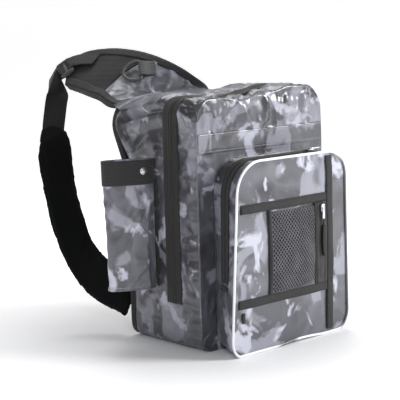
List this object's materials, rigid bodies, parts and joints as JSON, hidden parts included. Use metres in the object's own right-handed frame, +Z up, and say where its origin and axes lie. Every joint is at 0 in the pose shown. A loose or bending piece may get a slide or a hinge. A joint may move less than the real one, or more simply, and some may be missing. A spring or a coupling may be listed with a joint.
{
  "type": "fishing tackle sling bag",
  "caption": "Soft sling bag in grey camouflage cloth with a piped front pocket, mesh pocket, side rod sleeve, padded back, shoulder yoke and padded sling strap.",
  "frame": {"origin": "middle of the main body's base, on the ground", "axes": "+Z up, -Y out of the front pocket, +X to the wearer's side away from the sleeve"},
  "size_m": [0.3651, 0.5066, 0.4617],
  "materials": {
    "camo": "coated woven cloth with a camouflage print",
    "webbing": "ribbed webbing",
    "zip_tape": "zip tape and coil",
    "air_mesh": "padded air mesh",
    "net": "open elastic net",
    "piping": "light satin piping, dirty at the base",
    "plastic": "moulded black",
    "nickel": "bright nickel",
    "rubber": "matte"
  },
  "bodies": {
    "root": {"main_shell": "camo", "front_strip": "camo", "pocket_shell": "camo", "side_sleeve": "camo", "yoke_cover": "camo", "pocket_zip_tab": "webbing", "band_upper": "webbing", "band_lower": "webbing", "band_vertical": "webbing", "side_tab": "webbing", "sleeve_band": "webbing", "sleeve_strip": "webbing", "yoke_patch": "webbing", "edge_binding": "webbing", "d_ring_tab": "webbing", "buckle_webbing": "webbing", "strap_webbing": "webbing", "main_zip": "zip_tape", "pocket_zip": "zip_tape", "mesh_zip": "zip_tape", "back_panel": "air_mesh", "shoulder_yoke": "air_mesh", "strap_pad": "air_mesh", "mesh_panel": "net", "pocket_piping": "piping", "d_ring": "plastic", "ladder_buckle": "plastic", "main_zip_slider": "nickel", "pocket_zip_slider": "nickel", "mesh_zip_slider": "nickel", "sleeve_snap": "nickel", "zip_pull_cord": "rubber", "zip_pull_grip": "rubber"}
  },
  "joints": []
}
